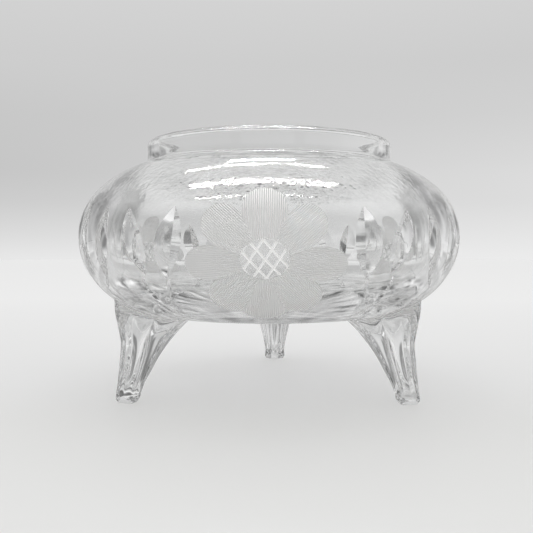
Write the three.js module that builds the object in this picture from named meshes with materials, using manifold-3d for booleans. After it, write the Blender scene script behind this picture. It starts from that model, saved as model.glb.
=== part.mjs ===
// Footed cut-glass bowl: a squat round body with a short straight collar, standing on three fluted solid feet.
// Millimetres, +Z up. The origin is on the bowl's axis, on the surface that it stands on.
// Azimuth 0 is the front (-Y), where one of the three cut flowers is; +90 degrees is +X.
import * as THREE from "three";
import { mergeVertices } from "three/addons/utils/BufferGeometryUtils.js";
import Module from "manifold-3d";

// ---- driving dimensions -------------------------------------------------------------------------
const LATHE_SEGMENTS = 72;
const RIM_HEIGHT = 98.3; // floor to the top of the rim
const FIRST_FOOT = 60; // azimuth of the first foot, degrees
const FOOT_GAP = 0.3; // clearance between a foot and the body that it is fused to
const FLOWER_COUNT = 3;

// Body, outside, from the underside's centre to the collar: [radius, height].
const OUTSIDE = [
  [0, 31.0],
  [42, 31.0],
  [47.4, 31.35],
  [52.9, 32.5],
  [58.2, 34.7],
  [63.0, 37.65],
  [67.1, 41.25],
  [70.5, 45.4],
  [72.95, 50.15],
  [74.5, 55.4],
  [75.0, 60.8],
  [74.75, 65.3],
  [73.35, 70.3],
  [70.6, 75.2],
  [67.1, 79.2],
  [63.0, 82.65],
  [58.4, 85.4],
  [53.2, 87.75],
  [50.0, 89.0],
  [48.8, 90.4],
];
// Rim: a fire-polished lip with a narrow flat top.
const LIP = [
  [48.8, 95.55],
  [48.43, 97.0],
  [47.6, 97.93],
  [46.3, RIM_HEIGHT],
  [45.3, RIM_HEIGHT],
  [44.65, 97.9],
  [44.42, 96.95],
];
// Body, inside, from the collar down to the centre of the floor: a heavy wall of about 10 mm at the waist.
const INSIDE = [
  [44.3, 90.0],
  [46.0, 86.0],
  [50.5, 82.3],
  [55.5, 78.0],
  [60.2, 72.5],
  [63.3, 66.5],
  [64.3, 60.5],
  [63.6, 54.5],
  [61.0, 48.8],
  [56.5, 44.6],
  [50.0, 41.6],
  [40.0, 39.8],
  [22.0, 39.0],
  [0, 39.0],
];

// Leaf-shaped mitre cuts of one third of the bowl: azimuth at the tip, the middle and the foot of the leaf,
// heights of tip and foot, and the greatest depth. The other two thirds repeat them.
const LEAF_TAN = 2.1; // half width over depth of the V
const LEAF_LIFT = 1.3; // how far the cutter stands outside the surface
const LEAVES = [
  { az: [24.6, 25.6, 26.3], z: [70.3, 47.6], depth: 2.3 },
  { az: [37.9, 35.7, 33.4], z: [69.6, 48.6], depth: 2.1 },
  { az: [47.6, 49.0, 51.4], z: [71.0, 46.0], depth: 2.1 },
  { az: [60.8, 60.8, 60.8], z: [72.5, 47.0], depth: 2.3 },
  { az: [74.0, 72.6, 70.2], z: [71.0, 46.0], depth: 2.1 },
  { az: [83.8, 86.0, 88.4], z: [70.3, 48.6], depth: 2.1 },
  { az: [98.2, 96.6, 94.8], z: [70.3, 47.6], depth: 2.3 },
];

// One flower of eight shallow oval petals round a small plain centre. Directions are degrees from straight up,
// clockwise from outside; distances run along the surface from the flower's centre, and egg says how much wider
// a petal is at its outer end. The cutting is by hand, so the petals differ a little.
const FLOWER_AZIMUTH = 0.27;
const FLOWER_HEIGHT = 54.27; // of the crossed lines, which sit a little above the petals' own centre
const FLOWER_DROP = 1.7;
const PETAL_DEPTH = 0.55;
const PETALS = [
  { dir: 0, from: 6.6, to: 23.1, half: 6.3, egg: 0.1 },
  { dir: 47, from: 7.0, to: 23.0, half: 5.4, egg: 0.28 },
  { dir: 91, from: 7.4, to: 24.9, half: 5.0, egg: 0.2 },
  { dir: 140, from: 6.4, to: 21.9, half: 6.4, egg: 0.2 },
  { dir: 180, from: 6.0, to: 24.1, half: 6.6, egg: 0.04 },
  { dir: 221, from: 6.4, to: 21.2, half: 6.3, egg: 0.2 },
  { dir: 270.5, from: 7.4, to: 24.0, half: 5.1, egg: 0.2 },
  { dir: 313, from: 7.0, to: 23.2, half: 5.4, egg: 0.28 },
];

// A foot: height, outer ridge radius, inner ridge radius, side ridge radius, half width, depth of the eight flutes.
const FOOT_LEVELS = [
  [0, 63.2, 55.9, 59.2, 4.3, 0],
  [1.1, 64.0, 55.0, 59.2, 4.9, 0],
  [2.4, 64.0, 54.6, 59.1, 4.8, 0.03],
  [4.0, 63.8, 54.0, 58.8, 4.7, 0.08],
  [6.5, 63.4, 52.9, 58.3, 5.0, 0.13],
  [10.5, 62.9, 50.4, 57.1, 5.7, 0.17],
  [14.5, 62.5, 48.1, 56.2, 6.6, 0.18],
  [18.5, 62.1, 45.2, 55.4, 7.5, 0.18],
  [22.5, 62.0, 41.8, 54.9, 8.1, 0.17],
  [26.0, 62.6, 38.2, 54.2, 8.6, 0.13],
  [29.0, 63.2, 34.8, 53.2, 9.1, 0.06],
  [32.0, 63.8, 32.4, 52.3, 9.5, 0.02],
  [42.0, 64.0, 32.0, 52.0, 9.6, 0.02],
];
const FOOT_SQUARE = 1.4; // 1 would make the section oval, 2 a lozenge
const FOOT_SIDES = 24;
const FEET = [
  ["foot_front_right", 0],
  ["foot_rear", -1.5], // put on a little to one side
  ["foot_front_left", 0],
];

// ---- helpers ------------------------------------------------------------------------------------
const wasm = await Module();
wasm.setup();
const RAD = Math.PI / 180;

// A closed geometry as a solid, with shared vertices merged and empty triangles left out.
function solid(geometry) {
  const g = geometry.clone();
  g.deleteAttribute("normal");
  g.deleteAttribute("uv");
  const merged = mergeVertices(g, 1e-4);
  const index = merged.index.array;
  const kept = [];
  for (let i = 0; i < index.length; i += 3) {
    const [a, b, c] = [index[i], index[i + 1], index[i + 2]];
    if (a !== b && b !== c && c !== a) kept.push(a, b, c);
  }
  const make = (triVerts) =>
    new wasm.Manifold(
      new wasm.Mesh({
        numProp: 3,
        vertProperties: new Float32Array(merged.attributes.position.array),
        triVerts: new Uint32Array(triVerts),
      }),
    );
  let made = make(kept);
  if (made.volume() < 0) {
    for (let i = 0; i < kept.length; i += 3)
      [kept[i + 1], kept[i + 2]] = [kept[i + 2], kept[i + 1]];
    made = make(kept);
  }
  return made;
}

function geometryOf(manifold) {
  const m = manifold.getMesh();
  const position = new Float32Array(m.numVert * 3);
  for (let i = 0; i < m.numVert; i++)
    position.set(
      m.vertProperties.subarray(i * m.numProp, i * m.numProp + 3),
      i * 3,
    );
  const g = new THREE.BufferGeometry();
  g.setAttribute("position", new THREE.BufferAttribute(position, 3));
  g.setIndex(new THREE.BufferAttribute(new Uint32Array(m.triVerts), 1));
  g.computeVertexNormals();
  return g;
}

// A profile of [radius, height] turned round +Z; azimuth 0 is -Y.
function turned(profile, segments = LATHE_SEGMENTS) {
  const points = profile.map(([r, z]) => new THREE.Vector2(r, z));
  return new THREE.LatheGeometry(points, segments).rotateX(Math.PI / 2);
}

// The outside profile by arc length, so that cuts can be laid along the surface.
const arc = [0];
for (let i = 1; i < OUTSIDE.length; i++)
  arc.push(
    arc[i - 1] +
      Math.hypot(
        OUTSIDE[i][0] - OUTSIDE[i - 1][0],
        OUTSIDE[i][1] - OUTSIDE[i - 1][1],
      ),
  );
function profileAt(s) {
  let i = 1;
  while (i < arc.length - 1 && arc[i] < s) i++;
  const k = (s - arc[i - 1]) / (arc[i] - arc[i - 1]);
  const [a, b] = [OUTSIDE[i - 1], OUTSIDE[i]];
  return [a[0] + (b[0] - a[0]) * k, a[1] + (b[1] - a[1]) * k];
}
function arcAtHeight(z) {
  let i = 4;
  while (i < OUTSIDE.length - 1 && OUTSIDE[i][1] < z) i++;
  const k = (z - OUTSIDE[i - 1][1]) / (OUTSIDE[i][1] - OUTSIDE[i - 1][1]);
  return arc[i - 1] + (arc[i] - arc[i - 1]) * k;
}
// A point over the outside surface: azimuth, arc length, and distance outwards along the normal.
function onSurface(azimuth, s, out) {
  const [r, z] = profileAt(s);
  const [r0, z0] = profileAt(s - 2);
  const [r1, z1] = profileAt(s + 2);
  const length = Math.hypot(r1 - r0, z1 - z0);
  const nr = (z1 - z0) / length;
  const nz = -(r1 - r0) / length;
  const rr = r + nr * out;
  return new THREE.Vector3(
    rr * Math.sin(azimuth * RAD),
    -rr * Math.cos(azimuth * RAD),
    z + nz * out,
  );
}
const degreesPerMm = (s) => 1 / (profileAt(s)[0] * RAD);

// Moves every vertex of a geometry to where(x, y, z) says.
function reshaped(geometry, where) {
  const p = geometry.attributes.position;
  for (let i = 0; i < p.count; i++) {
    const v = where(p.getX(i), p.getY(i), p.getZ(i));
    p.setXYZ(i, v.x, v.y, v.z);
  }
  return geometry;
}

// A V-shaped cutter along a leaf: a three-sided prism, its keel at the valley of the cut.
function leafCutter({ az, z, depth }, turn) {
  const [sTop, sFoot] = z.map(arcAtHeight);
  return reshaped(
    new THREE.CylinderGeometry(1, 1, 2, 3, 8).rotateY(Math.PI),
    (x, y, zz) => {
      const s = (sTop + sFoot) / 2 + (y * (sTop - sFoot)) / 2;
      const k = (1 - y) / 2; // 0 at the tip, 1 at the foot
      const middle =
        az[0] * (1 - k) * (1 - 2 * k) + az[1] * 4 * k * (1 - k) + az[2] * k * (2 * k - 1);
      const d = depth * (1 - y * y);
      const r = Math.hypot(x, zz);
      if (r < 0.5) return onSurface(middle + turn, s, (2 * LEAF_LIFT - d) / 3);
      const corner = Math.round(((Math.atan2(x, zz) / RAD + 540) % 360) / 120); // keel at one corner
      if (corner === 0 || corner === 3)
        return onSurface(middle + turn, s, -d);
      const side = corner === 1 ? 1 : -1;
      return onSurface(
        middle + turn + side * (d + LEAF_LIFT) * LEAF_TAN * degreesPerMm(s),
        s,
        LEAF_LIFT,
      );
    },
  );
}

// A petal: a shallow lens-shaped dip, narrower towards the flower's centre.
function petalCutter({ dir, from, to, half, egg }, turn) {
  const s0 = arcAtHeight(FLOWER_HEIGHT) - FLOWER_DROP;
  const [c, si] = [Math.cos(dir * RAD), Math.sin(dir * RAD)];
  return reshaped(new THREE.SphereGeometry(1, 12, 4), (x, y, z) => {
    const along = (from + to) / 2 + (x * (to - from)) / 2;
    const across = z * half * (1 + egg * x);
    const s = s0 + along * c - across * si;
    const right = along * si + across * c;
    return onSurface(
      turn + FLOWER_AZIMUTH + right * degreesPerMm(s),
      s,
      y > 0.01 ? 0.12 + y * 1.2 : y < -0.01 ? 0.12 + y * (PETAL_DEPTH + 0.12) : 0.12,
    );
  });
}

// A foot's section at one height: eight ridges with flutes between them, in (radial, across) coordinates.
function footPoint(angle, level) {
  const [z, outer, inner, side, half, flute] = level;
  const c = Math.cos(angle);
  const s = Math.sin(angle);
  const reach = c > 0 ? outer - side : side - inner;
  const soft = (v) => Math.sign(v) * Math.abs(v) ** FOOT_SQUARE;
  const scoop = 1 - flute * Math.abs(Math.sin(4 * angle));
  return [side + reach * soft(c) * scoop, half * soft(s) * scoop, z];
}

function footSolid(azimuth, aside) {
  const levels = FOOT_LEVELS.length - 1;
  const g = new THREE.CylinderGeometry(1, 1, levels, FOOT_SIDES, levels);
  return solid(
    reshaped(g, (x, y, z) => {
      const level = FOOT_LEVELS[Math.round(y + levels / 2)];
      const r = Math.hypot(x, z);
      let [radial, across, height] =
        r < 0.5
          ? [(level[1] + level[2]) / 2, 0, level[0]]
          : footPoint(Math.atan2(x, z), level);
      const k = Math.min(1, Math.max(0, (31 - height) / 12));
      across += aside * k * k * (3 - 2 * k);
      const a = azimuth * RAD;
      return new THREE.Vector3(
        radial * Math.sin(a) + across * Math.cos(a),
        -radial * Math.cos(a) + across * Math.sin(a),
        height,
      );
    }),
  );
}

// ---- the bowl's body ----------------------------------------------------------------------------
let body = solid(turned([...OUTSIDE, ...LIP, ...INSIDE]));
for (let third = 0; third < FLOWER_COUNT; third++) {
  const turn = (third * 360) / FLOWER_COUNT;
  for (const leaf of LEAVES) body = body.subtract(solid(leafCutter(leaf, turn)));
  for (const petal of PETALS)
    body = body.subtract(solid(petalCutter(petal, turn)));
}

// ---- the feet -----------------------------------------------------------------------------------
// The body's outside, grown by the gap, trims the top of each foot.
const grown = solid(
  turned([
    [0, 31 - FOOT_GAP],
    ...OUTSIDE.slice(1, -1).map(([r, z], i) => {
      const [r0, z0] = OUTSIDE[i];
      const [r1, z1] = OUTSIDE[i + 2];
      const length = Math.hypot(r1 - r0, z1 - z0);
      return [
        r + ((z1 - z0) / length) * FOOT_GAP,
        z - ((r1 - r0) / length) * FOOT_GAP,
      ];
    }),
    [0, 92],
  ]),
);

const glass = () =>
  new THREE.MeshStandardMaterial({
    color: 0xf4f7f7,
    roughness: 0.03,
    metalness: 0,
    transparent: true,
    opacity: 0.35,
  });

const group = new THREE.Group();
function piece(name, manifold) {
  const mesh = new THREE.Mesh(geometryOf(manifold), glass());
  mesh.name = name;
  group.add(mesh);
}
piece("bowl_body", body);
FEET.forEach(([name, aside], i) =>
  piece(
    name,
    footSolid(FIRST_FOOT + (i * 360) / FEET.length, aside).subtract(grown),
  ),
);

export default group;
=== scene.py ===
# Footed cut-glass bowl: the finished surfaces, glass, light and camera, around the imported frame.
import math

import bpy
import numpy as np
from mathutils import Matrix, Vector
from mathutils.geometry import delaunay_2d_cdt


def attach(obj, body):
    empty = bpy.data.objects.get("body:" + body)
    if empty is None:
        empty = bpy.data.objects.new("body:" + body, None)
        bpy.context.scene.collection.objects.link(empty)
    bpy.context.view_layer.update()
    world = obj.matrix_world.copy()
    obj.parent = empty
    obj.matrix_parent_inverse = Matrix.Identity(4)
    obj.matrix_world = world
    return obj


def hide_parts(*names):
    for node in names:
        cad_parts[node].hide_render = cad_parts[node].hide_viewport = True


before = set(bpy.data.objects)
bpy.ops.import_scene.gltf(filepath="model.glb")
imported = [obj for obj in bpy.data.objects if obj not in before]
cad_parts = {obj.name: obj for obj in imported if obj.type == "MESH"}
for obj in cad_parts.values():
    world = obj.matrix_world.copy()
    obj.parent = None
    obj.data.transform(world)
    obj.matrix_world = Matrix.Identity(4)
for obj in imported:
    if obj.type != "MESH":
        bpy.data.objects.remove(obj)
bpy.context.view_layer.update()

MM = 0.001
RAD = math.pi / 180

# ---------------------------------------------------------------------------------------------
# The turned profile of the body, millimetres, as one closed curve from the underside's centre,
# up the outside, over the rim and down the inside to the centre of the floor.
# ---------------------------------------------------------------------------------------------
FLOOR_Z = 30.93
MEET = (40.0, 60.22)  # the outside is drawn as a distance from this point, by angle
MEET_ANGLE = np.radians([-108, -80, -52, -25, 0, 24, 48, 74])
MEET_REACH = np.array([27.767, 29.714, 31.733, 33.869, 34.996, 34.104, 31.656, 30.272])
COLLAR_R = 48.8
RIM_Z = 98.3
INSIDE = np.array([
    (44.42, 96.9), (44.3, 93.6), (44.35, 90.0), (46.0, 86.0), (50.5, 82.3), (55.5, 78.0), (60.2, 72.5),
    (63.3, 66.5), (64.3, 60.5), (63.6, 54.5), (61.0, 48.8), (56.5, 44.6), (50.0, 41.6), (40.0, 39.8),
    (22.0, 39.0),
])


def spline(x, y):
    """Natural cubic spline through (x, y); y may have several columns."""
    x = np.asarray(x, float)
    y = np.asarray(y, float)
    y2 = y[:, None] if y.ndim == 1 else y
    n = len(x)
    h = np.diff(x)
    a = np.zeros((n, n))
    b = np.zeros((n, y2.shape[1]))
    a[0, 0] = a[-1, -1] = 1
    for i in range(1, n - 1):
        a[i, i - 1 : i + 2] = h[i - 1], 2 * (h[i - 1] + h[i]), h[i]
        b[i] = 6 * ((y2[i + 1] - y2[i]) / h[i] - (y2[i] - y2[i - 1]) / h[i - 1])
    m = np.linalg.solve(a, b)

    def at(q):
        q = np.atleast_1d(np.asarray(q, float))
        i = np.clip(np.searchsorted(x, q) - 1, 0, n - 2)
        t = (q - x[i])[:, None]
        hi = h[i][:, None]
        out = (
            y2[i]
            + t * ((y2[i + 1] - y2[i]) / hi - hi * (2 * m[i] + m[i + 1]) / 6)
            + t**2 * m[i] / 2
            + t**3 * (m[i + 1] - m[i]) / (6 * hi)
        )
        return out[:, 0] if y.ndim == 1 else out

    return at


def quarter(p0, corner, p1, n):
    """A quarter of an ellipse from p0 to p1, bulging towards corner."""
    t = np.linspace(0, math.pi / 2, n)
    p0, corner, p1 = map(np.array, (p0, corner, p1))
    centre = p0 + p1 - corner
    return centre + np.cos(t)[:, None] * (p0 - centre) + np.sin(t)[:, None] * (p1 - centre)


def bezier(p0, p1, p2, n):
    t = np.linspace(0, 1, n)[:, None]
    p0, p1, p2 = map(np.array, (p0, p1, p2))
    return (1 - t) ** 2 * p0 + 2 * t * (1 - t) * p1 + t**2 * p2


reach = spline(MEET_ANGLE, MEET_REACH)
ang = np.linspace(MEET_ANGLE[0], MEET_ANGLE[-1], 6000)
belly = np.stack([MEET[0] + reach(ang) * np.cos(ang), MEET[1] + reach(ang) * np.sin(ang)], 1)
belly = belly[np.argmin(belly[:, 1]) :]
belly[:, 1] += FLOOR_Z - belly[0, 1]
join = np.argmax((belly[:, 0] < COLLAR_R + 1.3) & (belly[:, 1] > 80))
slope = (belly[join, 1] - belly[join - 8, 1]) / (belly[join, 0] - belly[join - 8, 0])
corner_z = belly[join, 1] + (COLLAR_R - belly[join, 0]) * slope
fillet = bezier(belly[join], (COLLAR_R, corner_z), (COLLAR_R, corner_z + 1.5), 60)
inner = spline(np.r_[0, np.cumsum(np.hypot(*np.diff(INSIDE, axis=0).T))], INSIDE)
inner_len = np.hypot(*np.diff(INSIDE, axis=0).T).sum()
inner = inner(np.linspace(0, inner_len, 3000))
inner[:, 1] = np.maximum(inner[:, 1], 39.0)
profile = np.vstack([
    [(x, FLOOR_Z) for x in np.linspace(0, belly[0, 0], 200)[:-1]],
    belly[: join + 1],
    fillet[1:],
    [(COLLAR_R, z) for z in np.linspace(corner_z + 1.6, 95.5, 60)],
    bezier((COLLAR_R, 95.55), (48.6, 98.15), (46.3, RIM_Z), 60),
    [(46.0, RIM_Z), (45.5, RIM_Z)],
    quarter((45.2, RIM_Z), (44.42, RIM_Z), (44.42, 96.95), 40),
    inner,
    [(x, 39.0) for x in np.linspace(21.8, 0, 120)],
])
keep = np.r_[True, np.hypot(*np.diff(profile, axis=0).T) > 1e-6]
profile = profile[keep]
P_S = np.r_[0, np.cumsum(np.hypot(*np.diff(profile, axis=0).T))]
P_R, P_Z = profile.T


def smooth(v, width):
    """A running mean of a quantity along the profile, over a length in millimetres."""
    s = np.arange(0, P_S[-1], 0.05)
    u = np.interp(s, P_S, v)
    k = max(1, int(width / 0.05))
    u = np.convolve(np.pad(u, (k, k), mode="edge"), np.ones(2 * k + 1) / (2 * k + 1), "same")[k:-k]
    return s, u


_s, _nr = smooth(np.gradient(P_Z, P_S), 0.12)
_s, _nz = smooth(-np.gradient(P_R, P_S), 0.12)
_n = np.hypot(_nr, _nz)
_nr, _nz = _nr / _n, _nz / _n


def prof_r(s):
    return np.interp(s, P_S, P_R)


def prof_z(s):
    return np.interp(s, P_S, P_Z)


def prof_n(s):
    nr, nz = np.interp(s, _s, _nr), np.interp(s, _s, _nz)
    n = np.hypot(nr, nz)
    return nr / n, nz / n


S_TOP = P_S[np.argmax((P_Z > 89.0) & (P_R > 45))]


def s_of_z(z):
    """Arc length on the outside, above the underside's flat part, at a height."""
    inside = (P_S > P_S[np.argmax(P_R > 45)]) & (P_S < S_TOP)
    return np.interp(z, P_Z[inside], P_S[inside])


def s_of_r_under(r):
    """Arc length on the underside at a radius."""
    low = P_S < s_of_z(58.0)
    return np.interp(r, P_R[low], P_S[low])


def z_under(r):
    return prof_z(s_of_r_under(r))


def point(az, s, depth=0.0):
    """Points on the turned surface, sunk inwards by depth. az in degrees; mm."""
    nr, nz = prof_n(s)
    r = prof_r(s) - nr * depth
    z = prof_z(s) - nz * depth
    a = np.asarray(az) * RAD
    return np.stack([r * np.sin(a), -r * np.cos(a), z], -1)


# ---------------------------------------------------------------------------------------------
# The cutting, for one third of the bowl (azimuth -79 to 41); the other thirds repeat it.
# ---------------------------------------------------------------------------------------------
LEFT, RIGHT = -79.0, 41.0
K = 75.0 * RAD  # degrees to drawing millimetres
LEAF_TAN = 2.1
LEAVES = []
for third in (-120, 0):
    for az, z, depth in (
        ((24.6, 25.6, 26.3), (70.3, 47.6), 2.3),
        ((37.9, 35.7, 33.4), (69.6, 48.6), 2.1),
        ((47.6, 49.0, 51.4), (71.0, 46.0), 2.1),
        ((60.8, 60.8, 60.8), (72.5, 47.0), 2.3),
        ((74.0, 72.6, 70.2), (71.0, 46.0), 2.1),
        ((83.8, 86.0, 88.4), (70.3, 48.6), 2.1),
        ((98.2, 96.6, 94.8), (70.3, 47.6), 2.3),
    ):
        if LEFT < az[1] + third < RIGHT:
            LEAVES.append((np.array(az) + third, s_of_z(z[0]), s_of_z(z[1]), depth))


def leaf_line(leaf, s):
    """Azimuth of a leaf's middle line and its half width, at an arc length."""
    az, top, foot, depth = leaf
    k = (top - s) / (top - foot)
    mid = az[0] * (1 - k) * (1 - 2 * k) + az[1] * 4 * k * (1 - k) + az[2] * k * (2 * k - 1)
    y = 2 * k - 1
    return mid, LEAF_TAN * depth * np.maximum(0, 1 - y * y)


# Stems: narrow mitre lines that run from the feet of a pair of leaves down under the bowl.
STEM_HALF, STEM_TAN = 0.8, 1.7
STEMS = []
for third in (-120, 0):
    for a in (
        [(33.6, 48.4), (34.0, 46.0), (33.6, 42.5), (32.2, 38.5), (30.0, 35.2), (26.6, 33.4)],
        [(25.6, 47.6), (26.4, 44.6), (28.4, 41.0), (29.8, 38.0)],
        [(86.4, 48.4), (86.0, 46.0), (86.4, 42.5), (87.8, 38.5), (90.0, 35.2), (93.4, 33.4)],
        [(94.4, 47.6), (93.6, 44.6), (91.6, 41.0), (90.2, 38.0)],
        [(50.4, 47.0), (53.0, 44.6), (55.6, 42.6)],
        [(69.6, 47.0), (67.0, 44.6), (64.4, 42.6)],
    ):
        if LEFT < a[0][0] + third < RIGHT:
            STEMS.append([(p[0] + third + 0.9, float(s_of_z(p[1]))) for p in a])

# The flower: eight hatched petals round a cross-cut centre that sits a little above their middle.
FLOWER_AZ = 0.27
FLOWER_S = float(s_of_z(54.27)) - 1.7
PETALS = [  # direction, from, to, half width, how much wider at the outer end
    (0, 3.6, 24.1, 6.95, 0.18),
    (47, 3.6, 24.0, 5.9, 0.45),
    (91, 3.6, 25.9, 5.35, 0.33),
    (140, 3.6, 22.9, 7.9, 0.28),
    (180, 3.6, 25.1, 7.5, 0.06),
    (221, 3.6, 22.2, 7.6, 0.32),
    (270.5, 3.6, 25.0, 5.5, 0.28),
    (313, 3.6, 24.2, 5.9, 0.45),
]
EYE = (7.5, 6.2)  # half axes of the centre
EYE_AT = (0.1, 1.3)  # where it sits
DIP = 0.42
HATCH = 0.65
HATCH_DEEP = 0.16
LATTICE = [  # direction of the lines in degrees from level, their spacing and shift, hand cut
    (-48.5, (-7.0, -3.55, 0.15, 3.7, 7.3)),
    (57.5, (-7.3, -3.6, -0.1, 3.75, 7.2)),
]
LATTICE_HALF, LATTICE_TAN = 0.4, 0.85


def to_local(az, s):
    """Millimetres to the right of and above a flower's centre."""
    return (az - FLOWER_AZ) * RAD * prof_r(s), s - FLOWER_S


def from_local(a, b):
    s = FLOWER_S + b
    return a / (prof_r(s) * RAD) + FLOWER_AZ, s


def eye_radius(alpha):
    """Distance from the flower's centre to the edge of its cross-cut middle, by direction."""
    sa, ca = np.sin(alpha), np.cos(alpha)
    qa = (sa / EYE[0]) ** 2 + (ca / EYE[1]) ** 2
    qb = -2 * (sa * EYE_AT[0] / EYE[0] ** 2 + ca * EYE_AT[1] / EYE[1] ** 2)
    qc = (EYE_AT[0] / EYE[0]) ** 2 + (EYE_AT[1] / EYE[1]) ** 2 - 1
    return (-qb + np.sqrt(qb * qb - 4 * qa * qc)) / (2 * qa)


def petal_inside(i, a, b):
    """How deep inside petal i's oval a point is: 1 at its middle line, 0 at its edge."""
    d, start, end, half, egg = PETALS[i]
    c, s = math.cos(d * RAD), math.sin(d * RAD)
    t, q = a * s + b * c, a * c - b * s
    x = (t - (start + end) / 2) / ((end - start) / 2)
    h = half * (1 + egg * np.clip(x, -1.2, 1.2))
    return 1 - x * x - (q / h) ** 2


_rho = np.linspace(0, 30, 1501)


def outline(i, v):
    """How far petal i reaches in a direction from the flower's centre."""
    ok = petal_inside(i, _rho * math.sin(v), _rho * math.cos(v)) > 0
    return _rho[np.nonzero(ok)[0].max()] if ok.any() else 0.0


def parting(i, j):
    """The direction in which two neighbouring petals reach equally far."""
    lo, hi = PETALS[i][0], PETALS[j][0] + (360 if PETALS[j][0] < PETALS[i][0] else 0)
    v = np.linspace(lo + 8, hi - 8, 121)
    return float(v[np.argmin([abs(outline(i, x * RAD) - outline(j, x * RAD)) - 0.05 * min(outline(i, x * RAD), outline(j, x * RAD)) for x in v])])


_part = [parting(i, (i + 1) % len(PETALS)) for i in range(len(PETALS))]
WEDGE = [(_part[i - 1] - (360 if i == 0 else 0), _part[i]) for i in range(len(PETALS))]
PETAL_EDGE = []
for i, (lo, hi) in enumerate(WEDGE):
    n = max(9, int((hi - lo) / 2.2))
    al = np.radians(np.linspace(lo, hi, n))
    out = []
    for v in al:
        out.append(outline(i, v))
    PETAL_EDGE.append((al, np.maximum(out, eye_radius(al))))


def petal_of(a, b):
    """Index of the petal that holds each point, or -1; -2 in the flower's centre."""
    alpha = np.degrees(np.arctan2(a, b))
    rho = np.hypot(a, b)
    found = np.full(np.shape(a), -1)
    for i, (lo, hi) in enumerate(WEDGE):
        v = (alpha - lo) % 360
        inside = v < hi - lo
        edge = np.interp(np.radians(lo + v), PETAL_EDGE[i][0], PETAL_EDGE[i][1])
        found[inside & (rho < edge)] = i
    found[rho < eye_radius(np.radians(alpha))] = -2
    return found


def petal_depth(i, a, b, hatch=True):
    d = PETALS[i][0]
    q = a * math.cos(d * RAD) - b * math.sin(d * RAD)
    inside = np.clip(petal_inside(i, a, b), 0, 1)
    wave = np.abs(((q / HATCH) % 1) * 2 - 1)  # 0 on a valley, 1 on a ridge
    dip = 0.05 + DIP * (1 - (1 - inside) ** 1.5)
    return dip + (HATCH_DEEP * (0.5 - wave) if hatch else 0)


def lattice_lines():
    for angle, shifts in LATTICE:
        u = np.array([math.cos(angle * RAD), math.sin(angle * RAD)])
        n = np.array([-u[1], u[0]])
        for shift in shifts:
            yield u, n, shift + n[0] * EYE_AT[0] + n[1] * EYE_AT[1]


def lattice_depth(a, b):
    depth = np.zeros(np.shape(a))
    for u, n, off in lattice_lines():
        depth = np.maximum(depth, (LATTICE_HALF - np.abs(a * n[0] + b * n[1] - off)) / LATTICE_TAN)
    return depth


# ---------------------------------------------------------------------------------------------
# The feet
# ---------------------------------------------------------------------------------------------
FOOT_AZ = {"foot_front_left": -60.0, "foot_front_right": 60.0, "foot_rear": 180.0}
FOOT_ASIDE = {"foot_rear": -1.5}  # a foot that was put on a little to one side, millimetres
FOOT = np.array([  # height, outer ridge, inner ridge, side ridge, half width, depth of the flutes
    (0, 63.2, 55.9, 59.2, 4.3, 0.0),
    (1.1, 64.0, 55.0, 59.2, 4.9, 0.0),
    (2.4, 64.0, 54.6, 59.1, 4.8, 0.03),
    (4.0, 63.8, 54.0, 58.8, 4.7, 0.08),
    (6.5, 63.4, 52.9, 58.3, 5.0, 0.13),
    (10.5, 62.9, 50.4, 57.1, 5.7, 0.17),
    (14.5, 62.5, 48.1, 56.2, 6.6, 0.18),
    (18.5, 62.1, 45.2, 55.4, 7.5, 0.18),
    (22.5, 62.0, 41.8, 54.9, 8.1, 0.17),
    (26.0, 62.6, 38.2, 54.2, 8.6, 0.13),
    (29.0, 63.2, 34.8, 53.2, 9.1, 0.06),
    (32.0, 63.8, 32.4, 52.3, 9.5, 0.02),
    (42.0, 64.0, 32.0, 52.0, 9.6, 0.02),
])
FOOT_SQUARE = 1.4
FOOT_N = 128
FOOT_FILLET = 1.3
foot_at = spline(FOOT[:, 0], FOOT[:, 1:])


def foot_section(theta, z):
    """Radial and across coordinates of the foot's wall, and the section's outward normal there."""
    z = np.clip(np.asarray(z, float), 0, 42)
    outer, inner_, side, half, flute = foot_at(z).T

    def where(t):
        c, s = np.cos(t), np.sin(t)
        reach_ = np.where(c > 0, outer - side, side - inner_)
        soft = lambda v: np.sign(v) * np.abs(v) ** FOOT_SQUARE
        scoop = 1 - np.maximum(flute, 0) * np.abs(np.sin(4 * t))
        return side + reach_ * soft(c) * scoop, half * soft(s) * scoop

    r, t = where(theta)
    r1, t1 = where(theta + 1e-3)
    r0, t0 = where(theta - 1e-3)
    dr, dt = r1 - r0, t1 - t0
    n = np.hypot(dr, dt)
    return r, t, dt / n, -dr / n


foot_theta = np.arange(FOOT_N) * 2 * math.pi / FOOT_N


def foot_meet(theta):
    """Height at which each side line of the foot reaches the body."""
    lo, hi = np.full(len(theta), 24.0), np.full(len(theta), 42.0)
    for _ in range(40):
        mid = (lo + hi) / 2
        r, t, *_n2 = foot_section(theta, mid)
        below = z_under(np.hypot(r, t)) > mid
        lo, hi = np.where(below, mid, lo), np.where(below, hi, mid)
    return (lo + hi) / 2


def foot_row(h):
    """The foot's wall at a distance h under the body (h = 0 is on the body), with its fillet."""
    top = foot_meet(foot_theta)
    e = FOOT_FILLET - math.sqrt(max(0.0, FOOT_FILLET**2 - max(0.0, FOOT_FILLET - h) ** 2))
    e0 = FOOT_FILLET
    r0, t0, nr0, nt0 = foot_section(foot_theta, top)
    end = z_under(np.hypot(r0 + nr0 * e0, t0 + nt0 * e0)) - top
    r, t, nr, nt = foot_section(foot_theta, top - h)
    return r + nr * e, t + nt * e, top - h + end * (e / e0)


def smoothstep(v):
    v = np.clip(v, 0, 1)
    return v * v * (3 - 2 * v)


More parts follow.
